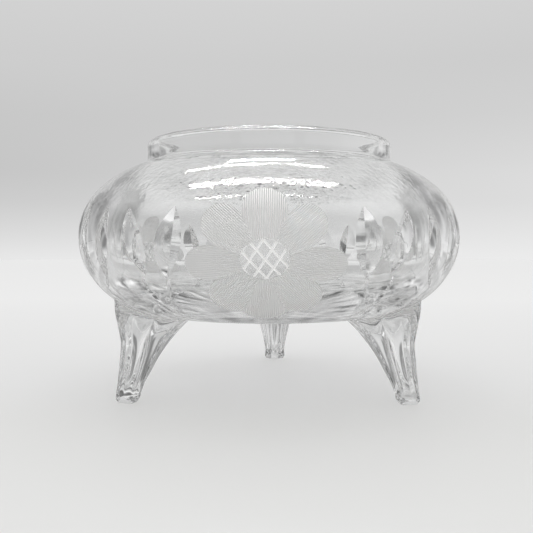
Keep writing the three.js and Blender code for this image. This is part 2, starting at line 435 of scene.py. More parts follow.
def foot_place(r, t, z, az):
    a = az * RAD
    return np.stack([r * math.sin(a) + t * math.cos(a), -r * math.cos(a) + t * math.sin(a), z + 0 * r], -1)


# ---------------------------------------------------------------------------------------------
# The cut band of the body as one conformal mesh in (azimuth, arc length).
# ---------------------------------------------------------------------------------------------
S_LOW = float(s_of_r_under(24.0))
S_HIGH = float(s_of_z(80.0))
STEP_AZ = 2.0

pts, edges = [], []


def add_line(line, closed=False):
    """Adds a polyline of (azimuth, s) as constraint edges."""
    first = len(pts)
    pts.extend((a * K, s) for a, s in line)
    n = len(line)
    edges.extend((first + i, first + (i + 1) % n) for i in range(n if closed else n - 1))
    return first


cols = np.arange(LEFT, RIGHT + 0.01, STEP_AZ)
rows_n = int(round((S_HIGH - S_LOW) / 1.3))
rows = np.linspace(S_LOW, S_HIGH, rows_n + 1)
border = (
    [(a, S_LOW) for a in cols]
    + [(RIGHT, s) for s in rows[1:-1]]
    + [(a, S_HIGH) for a in cols[::-1]]
    + [(LEFT, s) for s in rows[1:-1][::-1]]
)
add_line(border, closed=True)

for leaf in LEAVES:
    s = leaf[2] + (leaf[1] - leaf[2]) * (1 - np.cos(np.linspace(0, math.pi, 25))) / 2
    mid, w = leaf_line(leaf, s)
    dw = w / (prof_r(s) * RAD)
    add_line(list(zip(mid, s)))
    base = len(pts) - len(s)
    for side in (-1, 1):
        line = list(zip(mid + side * dw, s))[1:-1]
        first = add_line(line)
        edges.append((base, first))
        edges.append((first + len(line) - 1, base + len(s) - 1))


def resample(line, step):
    line = np.array(line, float)
    d = np.r_[0, np.cumsum(np.hypot(np.diff(line[:, 0]) * K, np.diff(line[:, 1])))]
    n = max(2, int(math.ceil(d[-1] / step)) + 1)
    q = np.linspace(0, d[-1], n)
    f = spline(d, line) if len(line) > 2 else (lambda v: np.stack([np.interp(v, d, line[:, j]) for j in (0, 1)], 1))
    return f(q)


STEM_LINES = []
for stem in STEMS:
    line = resample(stem, 0.9)
    t = np.gradient(line, axis=0) * [K, 1]
    t /= np.hypot(*t.T)[:, None]
    taper = np.minimum(1, np.minimum(np.arange(len(line)), np.arange(len(line))[::-1]) / 3 + 0.15)
    scale = np.stack([1 / (prof_r(line[:, 1]) * RAD), np.ones(len(line))], 1)
    norm = np.stack([-t[:, 1], t[:, 0]], 1)
    STEM_LINES.append((line, taper * STEM_HALF))
    add_line(line)
    for side in (-1, 1):
        add_line(line + side * norm * scale * (taper * STEM_HALF)[:, None])

for i, (al, edge) in enumerate(PETAL_EDGE):
    inner_edge = eye_radius(al)
    poly = [(e * math.sin(v), e * math.cos(v)) for v, e in zip(al, edge)]
    back = [(e * math.sin(v), e * math.cos(v)) for v, e in zip(al[::-1], inner_edge[::-1])]
    sides = []
    for k in (0, -1):
        n = max(2, int((edge[k] - inner_edge[k]) / 1.3))
        rad = np.linspace(inner_edge[k], edge[k], n + 1)
        sides.append([(x * math.sin(al[k]), x * math.cos(al[k])) for x in rad[1:-1]])
    ring = poly + sides[1][::-1] + back + sides[0]
    ring = [from_local(*p) for p in ring]
    add_line([(float(a), float(s)) for a, s in ring], closed=True)
    # the hatch
    d, start, end, half, egg = PETALS[i]
    c, s_ = math.cos(d * RAD), math.sin(d * RAD)
    for k in range(-int(2 * half / HATCH) - 2, int(2 * half / HATCH) + 3):
        q = k * HATCH / 2
        t = np.arange(2.0, 28.0, 0.05)
        a, b = t * s_ + q * c, t * c - q * s_
        ok = petal_of(a, b) == i
        if ok.sum() < 12:
            continue
        t = t[ok]
        lo_, hi_ = t.min() + 0.16, t.max() - 0.16
        if hi_ - lo_ < 0.5:
            continue
        t = np.linspace(lo_, hi_, max(2, int((hi_ - lo_) / 1.5) + 1))
        az, s = from_local(t * s_ + q * c, t * c - q * s_)
        add_line(list(zip(az, s)))

for u, n, off in lattice_lines():
    for side in (-1, 0, 1):
        o = off + side * LATTICE_HALF
        t = np.arange(-11, 11, 0.02)
        a, b = t * u[0] + o * n[0], t * u[1] + o * n[1]
        ok = ((a - EYE_AT[0]) / (EYE[0] - 0.12)) ** 2 + ((b - EYE_AT[1]) / (EYE[1] - 0.12)) ** 2 < 1
        if ok.sum() < 40:
            continue
        t = t[ok]
        t = np.linspace(t.min(), t.max(), max(2, int((t.max() - t.min()) / 1.2) + 1))
        az, s = from_local(t * u[0] + o * n[0], t * u[1] + o * n[1])
        add_line(list(zip(az, s)))

fr, ft, fz = foot_row(0.0)
foot_outline_az = -60.0 + np.degrees(np.arctan2(ft, fr))
foot_outline_s = s_of_r_under(np.hypot(fr, ft))
foot_first = add_line(list(zip(foot_outline_az, foot_outline_s)), closed=True)

# Background points, away from every line and outside the hatched petals.
P = np.array(pts)
E = np.array(edges)
gx = np.arange(LEFT * K + 0.9, RIGHT * K - 0.8, 1.7)
gy = np.arange(S_LOW + 0.8, S_HIGH - 0.7, 1.35)
G = np.array([(x + 0.85 * (j % 2), y) for j, y in enumerate(gy) for x in gx])
G = G[G[:, 0] < RIGHT * K - 0.7]
ga, gb = to_local(G[:, 0] / K, G[:, 1])
G = G[petal_of(ga, gb) == -1]
A, B = P[E[:, 0]], P[E[:, 1]]
near = np.zeros(len(G), bool)
for j in range(0, len(G), 400):
    g = G[j : j + 400, None, :]
    ab = B - A
    t = np.clip(((g - A) * ab).sum(-1) / np.maximum((ab**2).sum(-1), 1e-12), 0, 1)
    near[j : j + 400] = (np.hypot(*np.moveaxis(g - (A + t[..., None] * ab), -1, 0)) < 0.45).any(1)
G = G[~near]
allp = np.vstack([P, G])
out = delaunay_2d_cdt([Vector(p) for p in allp], [tuple(map(int, e)) for e in edges], [], 0, 1e-4, True)
D = np.array([(v[0], v[1]) for v in out[0]])
T = np.array([f for f in out[2]])
orig = out[3]
d_az, d_s = D[:, 0] / K, D[:, 1]

# How deep each vertex is sunk, and which cut each triangle belongs to.
da, db = to_local(d_az, d_s)
in_petal = petal_of(da, db)
depth = np.zeros(len(D))
for i in range(len(PETALS)):
    # a point on a petal's border is put back on the plain surface further down, so that ridges stay between petals
    m = in_petal == i
    depth[m] = petal_depth(i, da[m], db[m])
m = in_petal == -2
depth[m] = 0.06 + lattice_depth(da[m], db[m])
border_pts = set()
for k, o in enumerate(orig):
    for j in o:
        border_pts.add(k) if j < 0 else None
src = np.full(len(D), -1)
for k, o in enumerate(orig):
    if len(o):
        src[k] = min(o)


def near_flower_border(a, b):
    alpha = np.degrees(np.arctan2(a, b))
    rho = np.hypot(a, b)
    flag = np.zeros(len(a), bool)
    for i, (lo, hi) in enumerate(WEDGE):
        v = (alpha - lo) % 360
        inside = (v < hi - lo + 1e-6) | (v > 360 - 1e-6)
        edge = np.interp(np.radians(lo + np.where(v > 359, 0, v)), PETAL_EDGE[i][0], PETAL_EDGE[i][1])
        flag |= inside & (np.abs(rho - edge) < 0.02) & (rho > eye_radius(np.radians(alpha)) + 0.02)
    return flag


depth[near_flower_border(da, db)] = 0.0
ring_eye = np.abs(np.hypot(da, db) - eye_radius(np.arctan2(da, db))) < 0.02
depth[ring_eye] = 0.05

leaf_depth = np.zeros(len(D))
for leaf in LEAVES:
    mid, w = leaf_line(leaf, d_s)
    lat = (d_az - mid) * RAD * prof_r(d_s)
    inside = (d_s < leaf[1]) & (d_s > leaf[2])
    leaf_depth = np.maximum(leaf_depth, np.where(inside, (w - np.abs(lat)) / LEAF_TAN, 0))


def stem_depth(az, s):
    found = np.zeros(len(az))
    for line, half in STEM_LINES:
        for (a0, s0), (a1, s1), h0, h1 in zip(line[:-1], line[1:], half[:-1], half[1:]):
            rk = prof_r((s0 + s1) / 2) * RAD
            p = np.stack([(az - a0) * rk, s - s0], 1)
            q = np.array([(a1 - a0) * rk, s1 - s0])
            t = np.clip((p @ q) / (q @ q), 0, 1)
            dist = np.hypot(*(p - t[:, None] * q).T)
            found = np.maximum(found, (h0 + (h1 - h0) * t - dist) / STEM_TAN)
    return np.maximum(found, 0)


st_d = stem_depth(d_az, d_s)
depth = np.maximum(np.maximum(depth, leaf_depth), st_d)
on_border = (np.abs(D[:, 1] - S_LOW) < 1e-6) | (np.abs(D[:, 1] - S_HIGH) < 1e-6)
depth[on_border] = 0

V = point(d_az, d_s, depth)
cen_az, cen_s = d_az[T].mean(1), d_s[T].mean(1)
ca, cb = to_local(cen_az, cen_s)
petal_t = petal_of(ca, cb)
# 0 polished, 1 and 7 the two sides of a hatch line (lit, and with a painted shade), 2 cross-cut line, 3 leaf left, 4
# leaf right, 5 stem, 6 seam, 8 between the cross-cut lines (with a painted shade)
kind = np.zeros(len(T), int)
for i, petal in enumerate(PETALS):
    across = ca * math.cos(petal[0] * RAD) - cb * math.sin(petal[0] * RAD)
    kind[petal_t == i] = np.where((across[petal_t == i] / HATCH) % 1 < 0.5, 1, 7)
kind[petal_t == -2] = np.where(lattice_depth(ca[petal_t == -2], cb[petal_t == -2]) > 1e-3, 2, 8)
leaf_id = np.full(len(T), -1)
for j, leaf in enumerate(LEAVES):
    mid, w = leaf_line(leaf, cen_s)
    lat = (cen_az - mid) * RAD * prof_r(cen_s)
    inside = (cen_s < leaf[1]) & (cen_s > leaf[2]) & (np.abs(lat) < w)
    kind[inside & (lat < 0)] = 3
    kind[inside & (lat >= 0)] = 4
    leaf_id[inside] = j
kind[(kind == 0) & (stem_depth(cen_az, cen_s) > 1e-4)] = 5


def in_polygon(px, py, poly):
    inside = np.zeros(len(px), bool)
    x0, y0 = poly[-1]
    for x1, y1 in poly:
        cross = (y0 > py) != (y1 > py)
        with np.errstate(divide="ignore", invalid="ignore"):
            inside ^= cross & (px < (x1 - x0) * (py - y0) / (y1 - y0) + x0)
        x0, y0 = x1, y1
    return inside


foot_poly = np.stack([foot_outline_az * K, foot_outline_s], 1)
kind[in_polygon(cen_az * K, cen_s, foot_poly)] = 6

# Corner normals: exact ones on the smooth surface and in the leaf cuts, flat ones in the fine cutting.
tri = V[T]
flat = np.cross(tri[:, 1] - tri[:, 0], tri[:, 2] - tri[:, 0])
flip = (flat * point(cen_az, cen_s, -1.0) - flat * point(cen_az, cen_s, 0.0)).sum(1) < 0
T[flip] = T[flip][:, ::-1]
flat[flip] *= -1
flat /= np.linalg.norm(flat, axis=1)[:, None] + 1e-12
corner = np.repeat(flat[:, None, :], 3, 1)
nr, nz = prof_n(d_s[T])
a_ = d_az[T] * RAD
plain = np.stack([nr * np.sin(a_), -nr * np.cos(a_), nz], -1)
m = (kind == 0) | (kind == 6)
corner[m] = plain[m]


def leaf_point(j, az, s, side):
    mid, w = leaf_line(LEAVES[j], np.clip(s, LEAVES[j][2], LEAVES[j][1]))
    lat = (az - mid) * RAD * prof_r(s)
    return point(az, s, (w - side * lat) / LEAF_TAN)


for j in range(len(LEAVES)):
    for side, kd in ((-1, 3), (1, 4)):
        m = (leaf_id == j) & (kind == kd)
        az, s = d_az[T[m]], d_s[T[m]]
        e = 0.01
        pu = leaf_point(j, az + e, s, side) - leaf_point(j, az - e, s, side)
        pv = leaf_point(j, az, s + e, side) - leaf_point(j, az, s - e, side)
        n = np.cross(pu, pv)
        n /= np.linalg.norm(n, axis=-1)[..., None]
        corner[m] = n

# ---------------------------------------------------------------------------------------------
# The whole body: three copies of the band, and turned surfaces above, inside and under it.
# ---------------------------------------------------------------------------------------------
SEG = int(round(360 / STEP_AZ))
all_v, all_t, all_n, all_k = [], [], [], []
count = 0


def put(v, t, n, k):
    global count
    all_v.append(v)
    all_t.append(np.asarray(t) + count)
    all_n.append(n)
    all_k.append(k)
    count += len(v)


def turned_rows(rows_s):
    """Rings of the turned surface at the given arc lengths, as triangles with exact normals."""
    az = LEFT + STEP_AZ * np.arange(SEG)
    rings = [s for s in rows_s if prof_r(s) > 1e-6]
    v = np.concatenate([point(az, np.full(SEG, s)) for s in rings])
    tri_, nor = [], []

    def normal_at(s, azimuth):
        nr_, nz_ = prof_n(s)
        return (nr_ * math.sin(azimuth * RAD), -nr_ * math.cos(azimuth * RAD), nz_)

    for i in range(len(rings) - 1):
        for j in range(SEG):
            k = (j + 1) % SEG
            p, q, p2, q2 = i * SEG + j, i * SEG + k, (i + 1) * SEG + j, (i + 1) * SEG + k
            n00, n10 = normal_at(rings[i], az[j]), normal_at(rings[i], az[j] + STEP_AZ)
            n01, n11 = normal_at(rings[i + 1], az[j]), normal_at(rings[i + 1], az[j] + STEP_AZ)
            tri_ += [(p, q, q2), (p, q2, p2)]
            nor += [(n00, n10, n11), (n00, n11, n01)]
    if len(rings) < len(rows_s):  # closes on the axis
        at_end = prof_r(rows_s[-1]) <= 1e-6
        s = rows_s[-1] if at_end else rows_s[0]
        v = np.vstack([v, [[0, 0, prof_z(s)]]])
        tip = len(v) - 1
        base = (len(rings) - 1) * SEG if at_end else 0
        nn = (0, 0, 1) if at_end else (0, 0, -1)
        for j in range(SEG):
            k = (j + 1) % SEG
            tri_.append((base + j, base + k, tip) if at_end else (base + k, base + j, tip))
            nor.append((nn, nn, nn))
    return v, np.array(tri_), np.array(nor, float)


def spaced(s0, s1, step):
    return list(np.linspace(s0, s1, max(2, int(math.ceil((s1 - s0) / step)) + 1)))


for third in range(3):
    c, s = math.cos(third * 120 * RAD), math.sin(third * 120 * RAD)
    rot = np.array([[c, -s, 0], [s, c, 0], [0, 0, 1]])
    put(V @ rot.T, T, corner @ rot.T, kind)

s_fillet = P_S[np.argmax((P_Z >= belly[join, 1]) & (P_R > 46))]
s_wall = P_S[np.argmax((P_Z >= corner_z + 1.55) & (P_R > 46))]
s_lip = P_S[np.argmax((P_Z >= 95.39) & (P_R > 46))]
s_flat0 = P_S[np.argmax(P_Z >= RIM_Z - 1e-4)]
s_flat1 = P_S[len(P_Z) - 1 - np.argmax(P_Z[::-1] >= RIM_Z - 1e-4)]
s_in = P_S[np.argmax((P_S > s_flat1) & (P_Z <= 97.2))]
up = (
    spaced(S_HIGH, s_fillet, 0.9)[:-1]
    + spaced(s_fillet, s_wall, 0.2)[:-1]
    + spaced(s_wall, s_lip, 1.2)[:-1]
    + spaced(s_lip, s_flat0, 0.22)[:-1]
    + spaced(s_flat0, s_flat1, 0.5)[:-1]
    + spaced(s_flat1, s_in, 0.15)[:-1]
    + spaced(s_in, P_S[-1] - 1.5, 1.2)
    + [P_S[-1]]
)
v, t, n = turned_rows(up)
put(v, t, n, np.zeros(len(t), int))
down = [0.0] + spaced(1.5, S_LOW, 2.4)
v, t, n = turned_rows(down)
put(v, t, n, np.zeros(len(t), int))

MATERIAL_OF_KIND = {0: 0, 1: 1, 2: 2, 3: 3, 4: 3, 5: 3, 6: 4, 7: 5, 8: 6}


def build(name, v, t, n, k, slots):
    """A closed mesh in metres with its own corner normals and one material slot per kind of finish."""
    key = np.round(v * 2e4).astype(np.int64)
    _u, first, inverse = np.unique(key, axis=0, return_index=True, return_inverse=True)
    inverse = inverse.reshape(-1)
    t = inverse[t]
    good = (t[:, 0] != t[:, 1]) & (t[:, 1] != t[:, 2]) & (t[:, 0] != t[:, 2])
    t, n, k = t[good], n[good], k[good]
    mesh = bpy.data.meshes.new(name)
    mesh.from_pydata([tuple(p) for p in (v[first] * MM)], [], [tuple(map(int, f)) for f in t])
    for mat in slots:
        mesh.materials.append(mat)
    mesh.polygons.foreach_set("material_index", [MATERIAL_OF_KIND[int(x)] for x in k])
    mesh.polygons.foreach_set("use_smooth", [True] * len(t))
    mesh.update()
    n = n / (np.linalg.norm(n, axis=-1)[..., None] + 1e-12)
    mesh.normals_split_custom_set([tuple(x) for x in n.reshape(-1, 3)])
    obj = bpy.data.objects.new(name, mesh)
    bpy.context.scene.collection.objects.link(obj)
    return obj


# ---------------------------------------------------------------------------------------------
# Materials
# ---------------------------------------------------------------------------------------------
IOR = 1.545


def node_material(name):
    mat = bpy.data.materials.new(name)
    mat.use_nodes = True
    nt = mat.node_tree
    nt.nodes.clear()
    return mat, nt, nt.nodes.new("ShaderNodeOutputMaterial")


def crystal(name, rough, ripple, ripple_scale, grain=0.0, grain_scale=900.0, clear=1.0, tone=(0.994, 0.997, 0.996)):
    mat, nt, out_ = node_material(name)
    p = nt.nodes.new("ShaderNodeBsdfPrincipled")
    p.inputs["Base Color"].default_value = (*tone, 1)
    p.inputs["IOR"].default_value = IOR
    p.inputs["Transmission Weight"].default_value = clear
    p.inputs["Roughness"].default_value = rough
    co = nt.nodes.new("ShaderNodeTexCoord")
    wave = nt.nodes.new("ShaderNodeTexNoise")
    wave.inputs["Scale"].default_value = ripple_scale
    wave.inputs["Detail"].default_value = 1.5
    nt.links.new(co.outputs["Object"], wave.inputs["Vector"])
    bump = nt.nodes.new("ShaderNodeBump")
    bump.inputs["Strength"].default_value = 1.0
    bump.inputs["Distance"].default_value = ripple
    nt.links.new(wave.outputs["Fac"], bump.inputs["Height"])
    last = bump
    if grain:
        fine = nt.nodes.new("ShaderNodeTexNoise")
        fine.inputs["Scale"].default_value = grain_scale
        fine.inputs["Detail"].default_value = 3
        nt.links.new(co.outputs["Object"], fine.inputs["Vector"])
        b2 = nt.nodes.new("ShaderNodeBump")
        b2.inputs["Strength"].default_value = 1.0
        b2.inputs["Distance"].default_value = grain
        nt.links.new(fine.outputs["Fac"], b2.inputs["Height"])
        nt.links.new(bump.outputs["Normal"], b2.inputs["Normal"])
        last = b2
    nt.links.new(last.outputs["Normal"], p.inputs["Normal"])
    nt.links.new(p.outputs["BSDF"], out_.inputs["Surface"])
    return mat


def orange_peel(mat, scale, distance, low, high, detail=2.0):
    """A finer ripple on a glass material between two heights, as fire and acid polishing leave it."""
    nt_ = mat.node_tree
    p_ = next(n_ for n_ in nt_.nodes if n_.type == "BSDF_PRINCIPLED")
    before = p_.inputs["Normal"].links[0].from_socket
    co_ = nt_.nodes.new("ShaderNodeTexCoord")
    fine = nt_.nodes.new("ShaderNodeTexNoise")
    fine.inputs["Scale"].default_value = scale
    fine.inputs["Detail"].default_value = detail
    nt_.links.new(co_.outputs["Object"], fine.inputs["Vector"])
    xyz = nt_.nodes.new("ShaderNodeSeparateXYZ")
    nt_.links.new(co_.outputs["Object"], xyz.inputs["Vector"])
    band = nt_.nodes.new("ShaderNodeValToRGB")
    rise = nt_.nodes.new("ShaderNodeMath")
    rise.operation = "MULTIPLY"
    rise.inputs[1].default_value = 10.0  # 100 mm over the whole ramp
    nt_.links.new(xyz.outputs["Z"], rise.inputs[0])
    el_ = band.color_ramp.elements
    el_[0].position, el_[0].color = low[0] / 100, (0, 0, 0, 1)
    el_[1].position, el_[1].color = high[1] / 100, (0, 0, 0, 1)
    for pos_ in (low[1], high[0]):
        e_ = el_.new(pos_ / 100)
        e_.color = (1, 1, 1, 1)
    nt_.links.new(rise.outputs[0], band.inputs["Fac"])
    times = nt_.nodes.new("ShaderNodeMath")
    times.operation = "MULTIPLY"
    nt_.links.new(fine.outputs["Fac"], times.inputs[0])
    nt_.links.new(band.outputs["Color"], times.inputs[1])
    b_ = nt_.nodes.new("ShaderNodeBump")
    b_.inputs["Strength"].default_value = 1.0
    b_.inputs["Distance"].default_value = distance
    nt_.links.new(times.outputs[0], b_.inputs["Height"])
    nt_.links.new(before, b_.inputs["Normal"])
    nt_.links.new(b_.outputs["Normal"], p_.inputs["Normal"])


def by_height(mat, low, high, below, above):
    """A value that changes with the height on the bowl, from one number to another."""
    nt_ = mat.node_tree
    co_ = nt_.nodes.new("ShaderNodeTexCoord")
    xyz = nt_.nodes.new("ShaderNodeSeparateXYZ")
    nt_.links.new(co_.outputs["Object"], xyz.inputs["Vector"])
    run = nt_.nodes.new("ShaderNodeMapRange")
    for k_, v_ in (("From Min", low * MM), ("From Max", high * MM), ("To Min", below), ("To Max", above)):
        run.inputs[k_].default_value = v_
    nt_.links.new(xyz.outputs["Z"], run.inputs["Value"])
    return run.outputs["Result"]


def frosted(mat, share, color=(0.97, 0.97, 0.965)):
    """Mixes light that soaks through a satin cut into a glass material."""
    nt_ = mat.node_tree
    p_ = next(n_ for n_ in nt_.nodes if n_.type == "BSDF_PRINCIPLED")
    out_ = next(n_ for n_ in nt_.nodes if n_.type == "OUTPUT_MATERIAL")
    soak = nt_.nodes.new("ShaderNodeBsdfTranslucent")
    soak.inputs["Color"].default_value = (*color, 1)
    nt_.links.new(p_.inputs["Normal"].links[0].from_socket, soak.inputs["Normal"])
    mix = nt_.nodes.new("ShaderNodeMixShader")
    mix.inputs[0].default_value = share
    mix.name = "soak share"
    nt_.links.new(p_.outputs["BSDF"], mix.inputs[1])
    nt_.links.new(soak.outputs["BSDF"], mix.inputs[2])
    nt_.links.new(mix.outputs[0], out_.inputs["Surface"])


polished = crystal("crystal_polished", 0.03, 0.00002, 26.0)
orange_peel(polished, 600.0, 0.00005, (71.5, 73.0), (84.0, 88.0), 1.0)
# the two sides of each hatch groove are lit and shaded copies of one satin cut; the second carries a painted shade in
# its grey tone and grey soak colour
hatch_lit_side = crystal("crystal_hatch_light", 0.34, 0.00001, 40.0, clear=0.22, tone=(0.998, 0.994, 0.988))
frosted(hatch_lit_side, 0.37, (0.99, 0.99, 0.985))
hatch_painted_shade_side = crystal("crystal_hatch_dark", 0.26, 0.00001, 40.0, clear=0.3, tone=(0.90, 0.896, 0.888))
frosted(hatch_painted_shade_side, 0.24, (0.90, 0.895, 0.885))
# painted highlight: towards the tops of the petals the lit side of the hatch turns opaque and whitens while the shaded
# side turns clearer, so that their lines stand out
for mat, low, high, below, above in ((hatch_lit_side, 68.0, 75.0, 0.22, 0.0), (hatch_painted_shade_side, 65.0, 69.0, 0.30, 0.5)):
    p = next(node for node in mat.node_tree.nodes if node.type == "BSDF_PRINCIPLED")
    mat.node_tree.links.new(by_height(mat, low, high, below, above), p.inputs["Transmission Weight"])
hatch_lit_side.node_tree.links.new(by_height(hatch_lit_side, 68.0, 75.0, 0.37, 0.0), hatch_lit_side.node_tree.nodes["soak share"].inputs[0])
line_cut = crystal("crystal_line_cut", 0.30, 0.00001, 40.0, clear=0.0, tone=(1.0, 1.0, 0.995))
frosted(line_cut, 0.1, (1.0, 1.0, 0.995))
# painted shade: the uncut glass between the cross-cut lines gets a grey tone that stands in for the darker surroundings
# seen through it
between = crystal("crystal_between_lines_painted_shade", 0.20, 0.00002, 160.0, clear=0.75, tone=(0.88, 0.88, 0.875))
mitre = crystal("crystal_mitre_cut", 0.03, 0.00002, 60.0)
seam, nt, o_ = node_material("crystal_fused_seam")
tr = nt.nodes.new("ShaderNodeBsdfTransparent")
nt.links.new(tr.outputs["BSDF"], o_.inputs["Surface"])
SLOTS = [polished, hatch_lit_side, line_cut, mitre, seam, hatch_painted_shade_side, between]

body = build(
    "bowl_body_cut",
    np.vstack(all_v),
    np.vstack(all_t),
    np.concatenate(all_n),
    np.concatenate(all_k),
    SLOTS,
)
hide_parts("bowl_body")
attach(body, "root")

# The feet: walls from the pad to the seam, and the seam itself on the same vertices as the body's.
seam_t = T[kind == 6]
used, inv = np.unique(seam_t, return_inverse=True)
seam_local = inv.reshape(seam_t.shape)
levels = [0.0, 0.18, 0.42, 0.75, 1.1, 1.6, 2.3, 3.2, 4.4, 6.0, 8.0, 10.0, 12.0, 14.0, 16.0, 18.0, 20.0, 22.0, 23.5]


def foot_wall():
    """Rows of wall points from the floor up, each FOOT_N points."""
    rings = []
    for z in levels:
        r, t_, *_ = foot_section(foot_theta, np.full(FOOT_N, z))
        rings.append((r, t_, np.full(FOOT_N, z)))
    top = foot_meet(foot_theta)
    for k in np.linspace(0, 1, 9)[1:]:
        z = 23.5 + (top - FOOT_FILLET - 23.5) * k
        r, t_, *_ = foot_section(foot_theta, z)
        rings.append((r, t_, z))
    for h in FOOT_FILLET * (1 - np.sin(np.linspace(0, math.pi / 2, 9)[1:])):
        rings.append(foot_row(h))
    return rings


wall = foot_wall()
for name, az in FOOT_AZ.items():
    aside = [FOOT_ASIDE.get(name, 0.0) * smoothstep((31.0 - z) / 12.0) for _r, _t, z in wall]
    v = np.concatenate([foot_place(r, t_ + off, z, az) for (r, t_, z), off in zip(wall, aside)])
    nrow = len(wall)
    c, s = math.cos((az + 60) * RAD), math.sin((az + 60) * RAD)
    rot = np.array([[c, -s, 0], [s, c, 0], [0, 0, 1]])
    cap = V[used] @ rot.T
    quads = []
    for i in range(nrow - 1):
        for j in range(FOOT_N):
            k = (j + 1) % FOOT_N
            p, q, p2, q2 = i * FOOT_N + j, i * FOOT_N + k, (i + 1) * FOOT_N + j, (i + 1) * FOOT_N + k
            quads += [(p, q, q2), (p, q2, p2)]
    quads = np.array(quads)
    # vertex normals of the wall, smooth all round
    fn = np.cross(v[quads[:, 1]] - v[quads[:, 0]], v[quads[:, 2]] - v[quads[:, 0]])
    vn = np.zeros_like(v)
    for j in range(3):
        np.add.at(vn, quads[:, j], fn)
    vn /= np.linalg.norm(vn, axis=1)[:, None]
    centre = v[:FOOT_N].mean(0)
    v = np.vstack([v, [centre], cap])
    base = len(v) - len(cap)
    bottom = np.array([((j + 1) % FOOT_N, j, base - 1) for j in range(FOOT_N)])
    tris = np.vstack([quads, bottom, seam_local[:, ::-1] + base])
    down_n = np.tile([0, 0, -1.0], (len(bottom), 3, 1))
    cap_n = -(plain[kind == 6][:, ::-1] @ rot.T)
    norm = np.concatenate([vn[quads], down_n, cap_n])
    kinds = np.r_[np.zeros(len(quads) + len(bottom), int), np.full(len(seam_local), 6)]
    foot = build(name + "_glass", v, tris, norm, kinds, SLOTS)
    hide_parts(name)
    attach(foot, "root")

# ---------------------------------------------------------------------------------------------
# Stage, light and camera
# ---------------------------------------------------------------------------------------------
scene = bpy.context.scene


def disc(name, radius, z, mat, seg=128):
    ring = [(radius * math.cos(i * 2 * math.pi / seg), radius * math.sin(i * 2 * math.pi / seg), z) for i in range(seg)]
    mesh = bpy.data.meshes.new(name)
    mesh.from_pydata([(0, 0, z)] + ring, [], [(0, 1 + i, 1 + (i + 1) % seg) for i in range(seg)])
    mesh.materials.append(mat)
    obj = bpy.data.objects.new(name, mesh)
    scene.collection.objects.link(obj)
    return obj


FLOOR_BASE = 0.23
STREAK_LONG, STREAK_SCALE = 0.45, 75.0
STREAK_TONES = [(0.36, 0.12), (0.68, 1.7), (0.43, 0.46), (0.50, 0.95), (0.57, 1.13), (0.62, 1.45)]
# painted glow added to every step of the paper's emission ramp
FLOOR_GLOW = 0.035
# painted shade on the paper, by distance front to back, that only the glass sees
FLOOR_SHADE_FOR_GLASS = [(-0.4, 0.05), (0.6, 1.0), (-0.2, 0.10), (-0.145, 0.2), (-0.11, 0.66), (-0.02, 0.82), (0.12, 0.84), (0.19, 0.64), (0.32, 0.64), (0.39, 0.97)]
# painted dark and lighter bands on the paper far behind the bowl, that only the glass sees
FAR_SIDES = [(0.50, 1.0), (1.20, 1.0), (0.60, 1.12), (0.70, 1.12), (0.73, 0.15), (0.80, 0.15), (0.83, 1.0)]
FAR_MIDDLE = [(0.50, 1.0), (1.20, 1.05), (0.60, 1.12), (0.80, 1.12), (0.84, 0.85), (0.88, 0.15), (0.97, 0.15), (1.0, 1.0)]
floor_mat, nt, o_ = node_material("stage_paper")
# pale paper with a painted glow on top of its real lighting, a little warm in front and brighter towards the back, so
# that shadows on it stay light
p = nt.nodes.new("ShaderNodeBsdfPrincipled")
p.inputs["Roughness"].default_value = 0.6
co = nt.nodes.new("ShaderNodeTexCoord")
sep = nt.nodes.new("ShaderNodeSeparateXYZ")
nt.links.new(co.outputs["Object"], sep.inputs["Vector"])
along = nt.nodes.new("ShaderNodeMapRange")
along.inputs["From Min"].default_value = -0.2
along.inputs["From Max"].default_value = 1.0
nt.links.new(sep.outputs["Y"], along.inputs["Value"])
glow = nt.nodes.new("ShaderNodeValToRGB")
el = glow.color_ramp.elements
for i, (y, v) in enumerate([(-0.2, 0.392), (1.0, 0.47), (-0.06, 0.39), (0.0, 0.41), (0.05, 0.42), (0.156, 0.444), (0.36, 0.485)]):
    e = el[i] if i < 2 else el.new((y + 0.2) / 1.2)
    e.position = (y + 0.2) / 1.2
    v += FLOOR_GLOW
    warm = 0.985 if y < 0 else 1.0
    e.color = (v, v, v * warm, 1)
nt.links.new(along.outputs["Result"], glow.inputs["Fac"])
nt.links.new(glow.outputs["Color"], p.inputs["Emission Color"])
# painted shade that only the glass sees on the paper: dark towards the open side of the tent in front of the bowl, and
# a little darker in a band behind it
glass_shade_span = nt.nodes.new("ShaderNodeMapRange")
glass_shade_span.inputs["From Min"].default_value = -0.4
glass_shade_span.inputs["From Max"].default_value = 0.6
nt.links.new(sep.outputs["Y"], glass_shade_span.inputs["Value"])
glass_floor_shade = nt.nodes.new("ShaderNodeValToRGB")
el = glass_floor_shade.color_ramp.elements
for i, (y, v) in enumerate(FLOOR_SHADE_FOR_GLASS):
    e = el[i] if i < 2 else el.new(y + 0.4)
    e.position = y + 0.4
    e.color = (v, v, v, 1)
nt.links.new(glass_shade_span.outputs["Result"], glass_floor_shade.inputs["Fac"])


def stage_math(kind_, a_in, b_in=None):
    node = nt.nodes.new("ShaderNodeMath")
    node.operation = kind_
    for k_, v_ in enumerate((a_in, b_in)):
        if isinstance(v_, (int, float)):
            node.inputs[k_].default_value = v_
        elif v_ is not None:
            nt.links.new(v_, node.inputs[k_])
    return node.outputs[0]


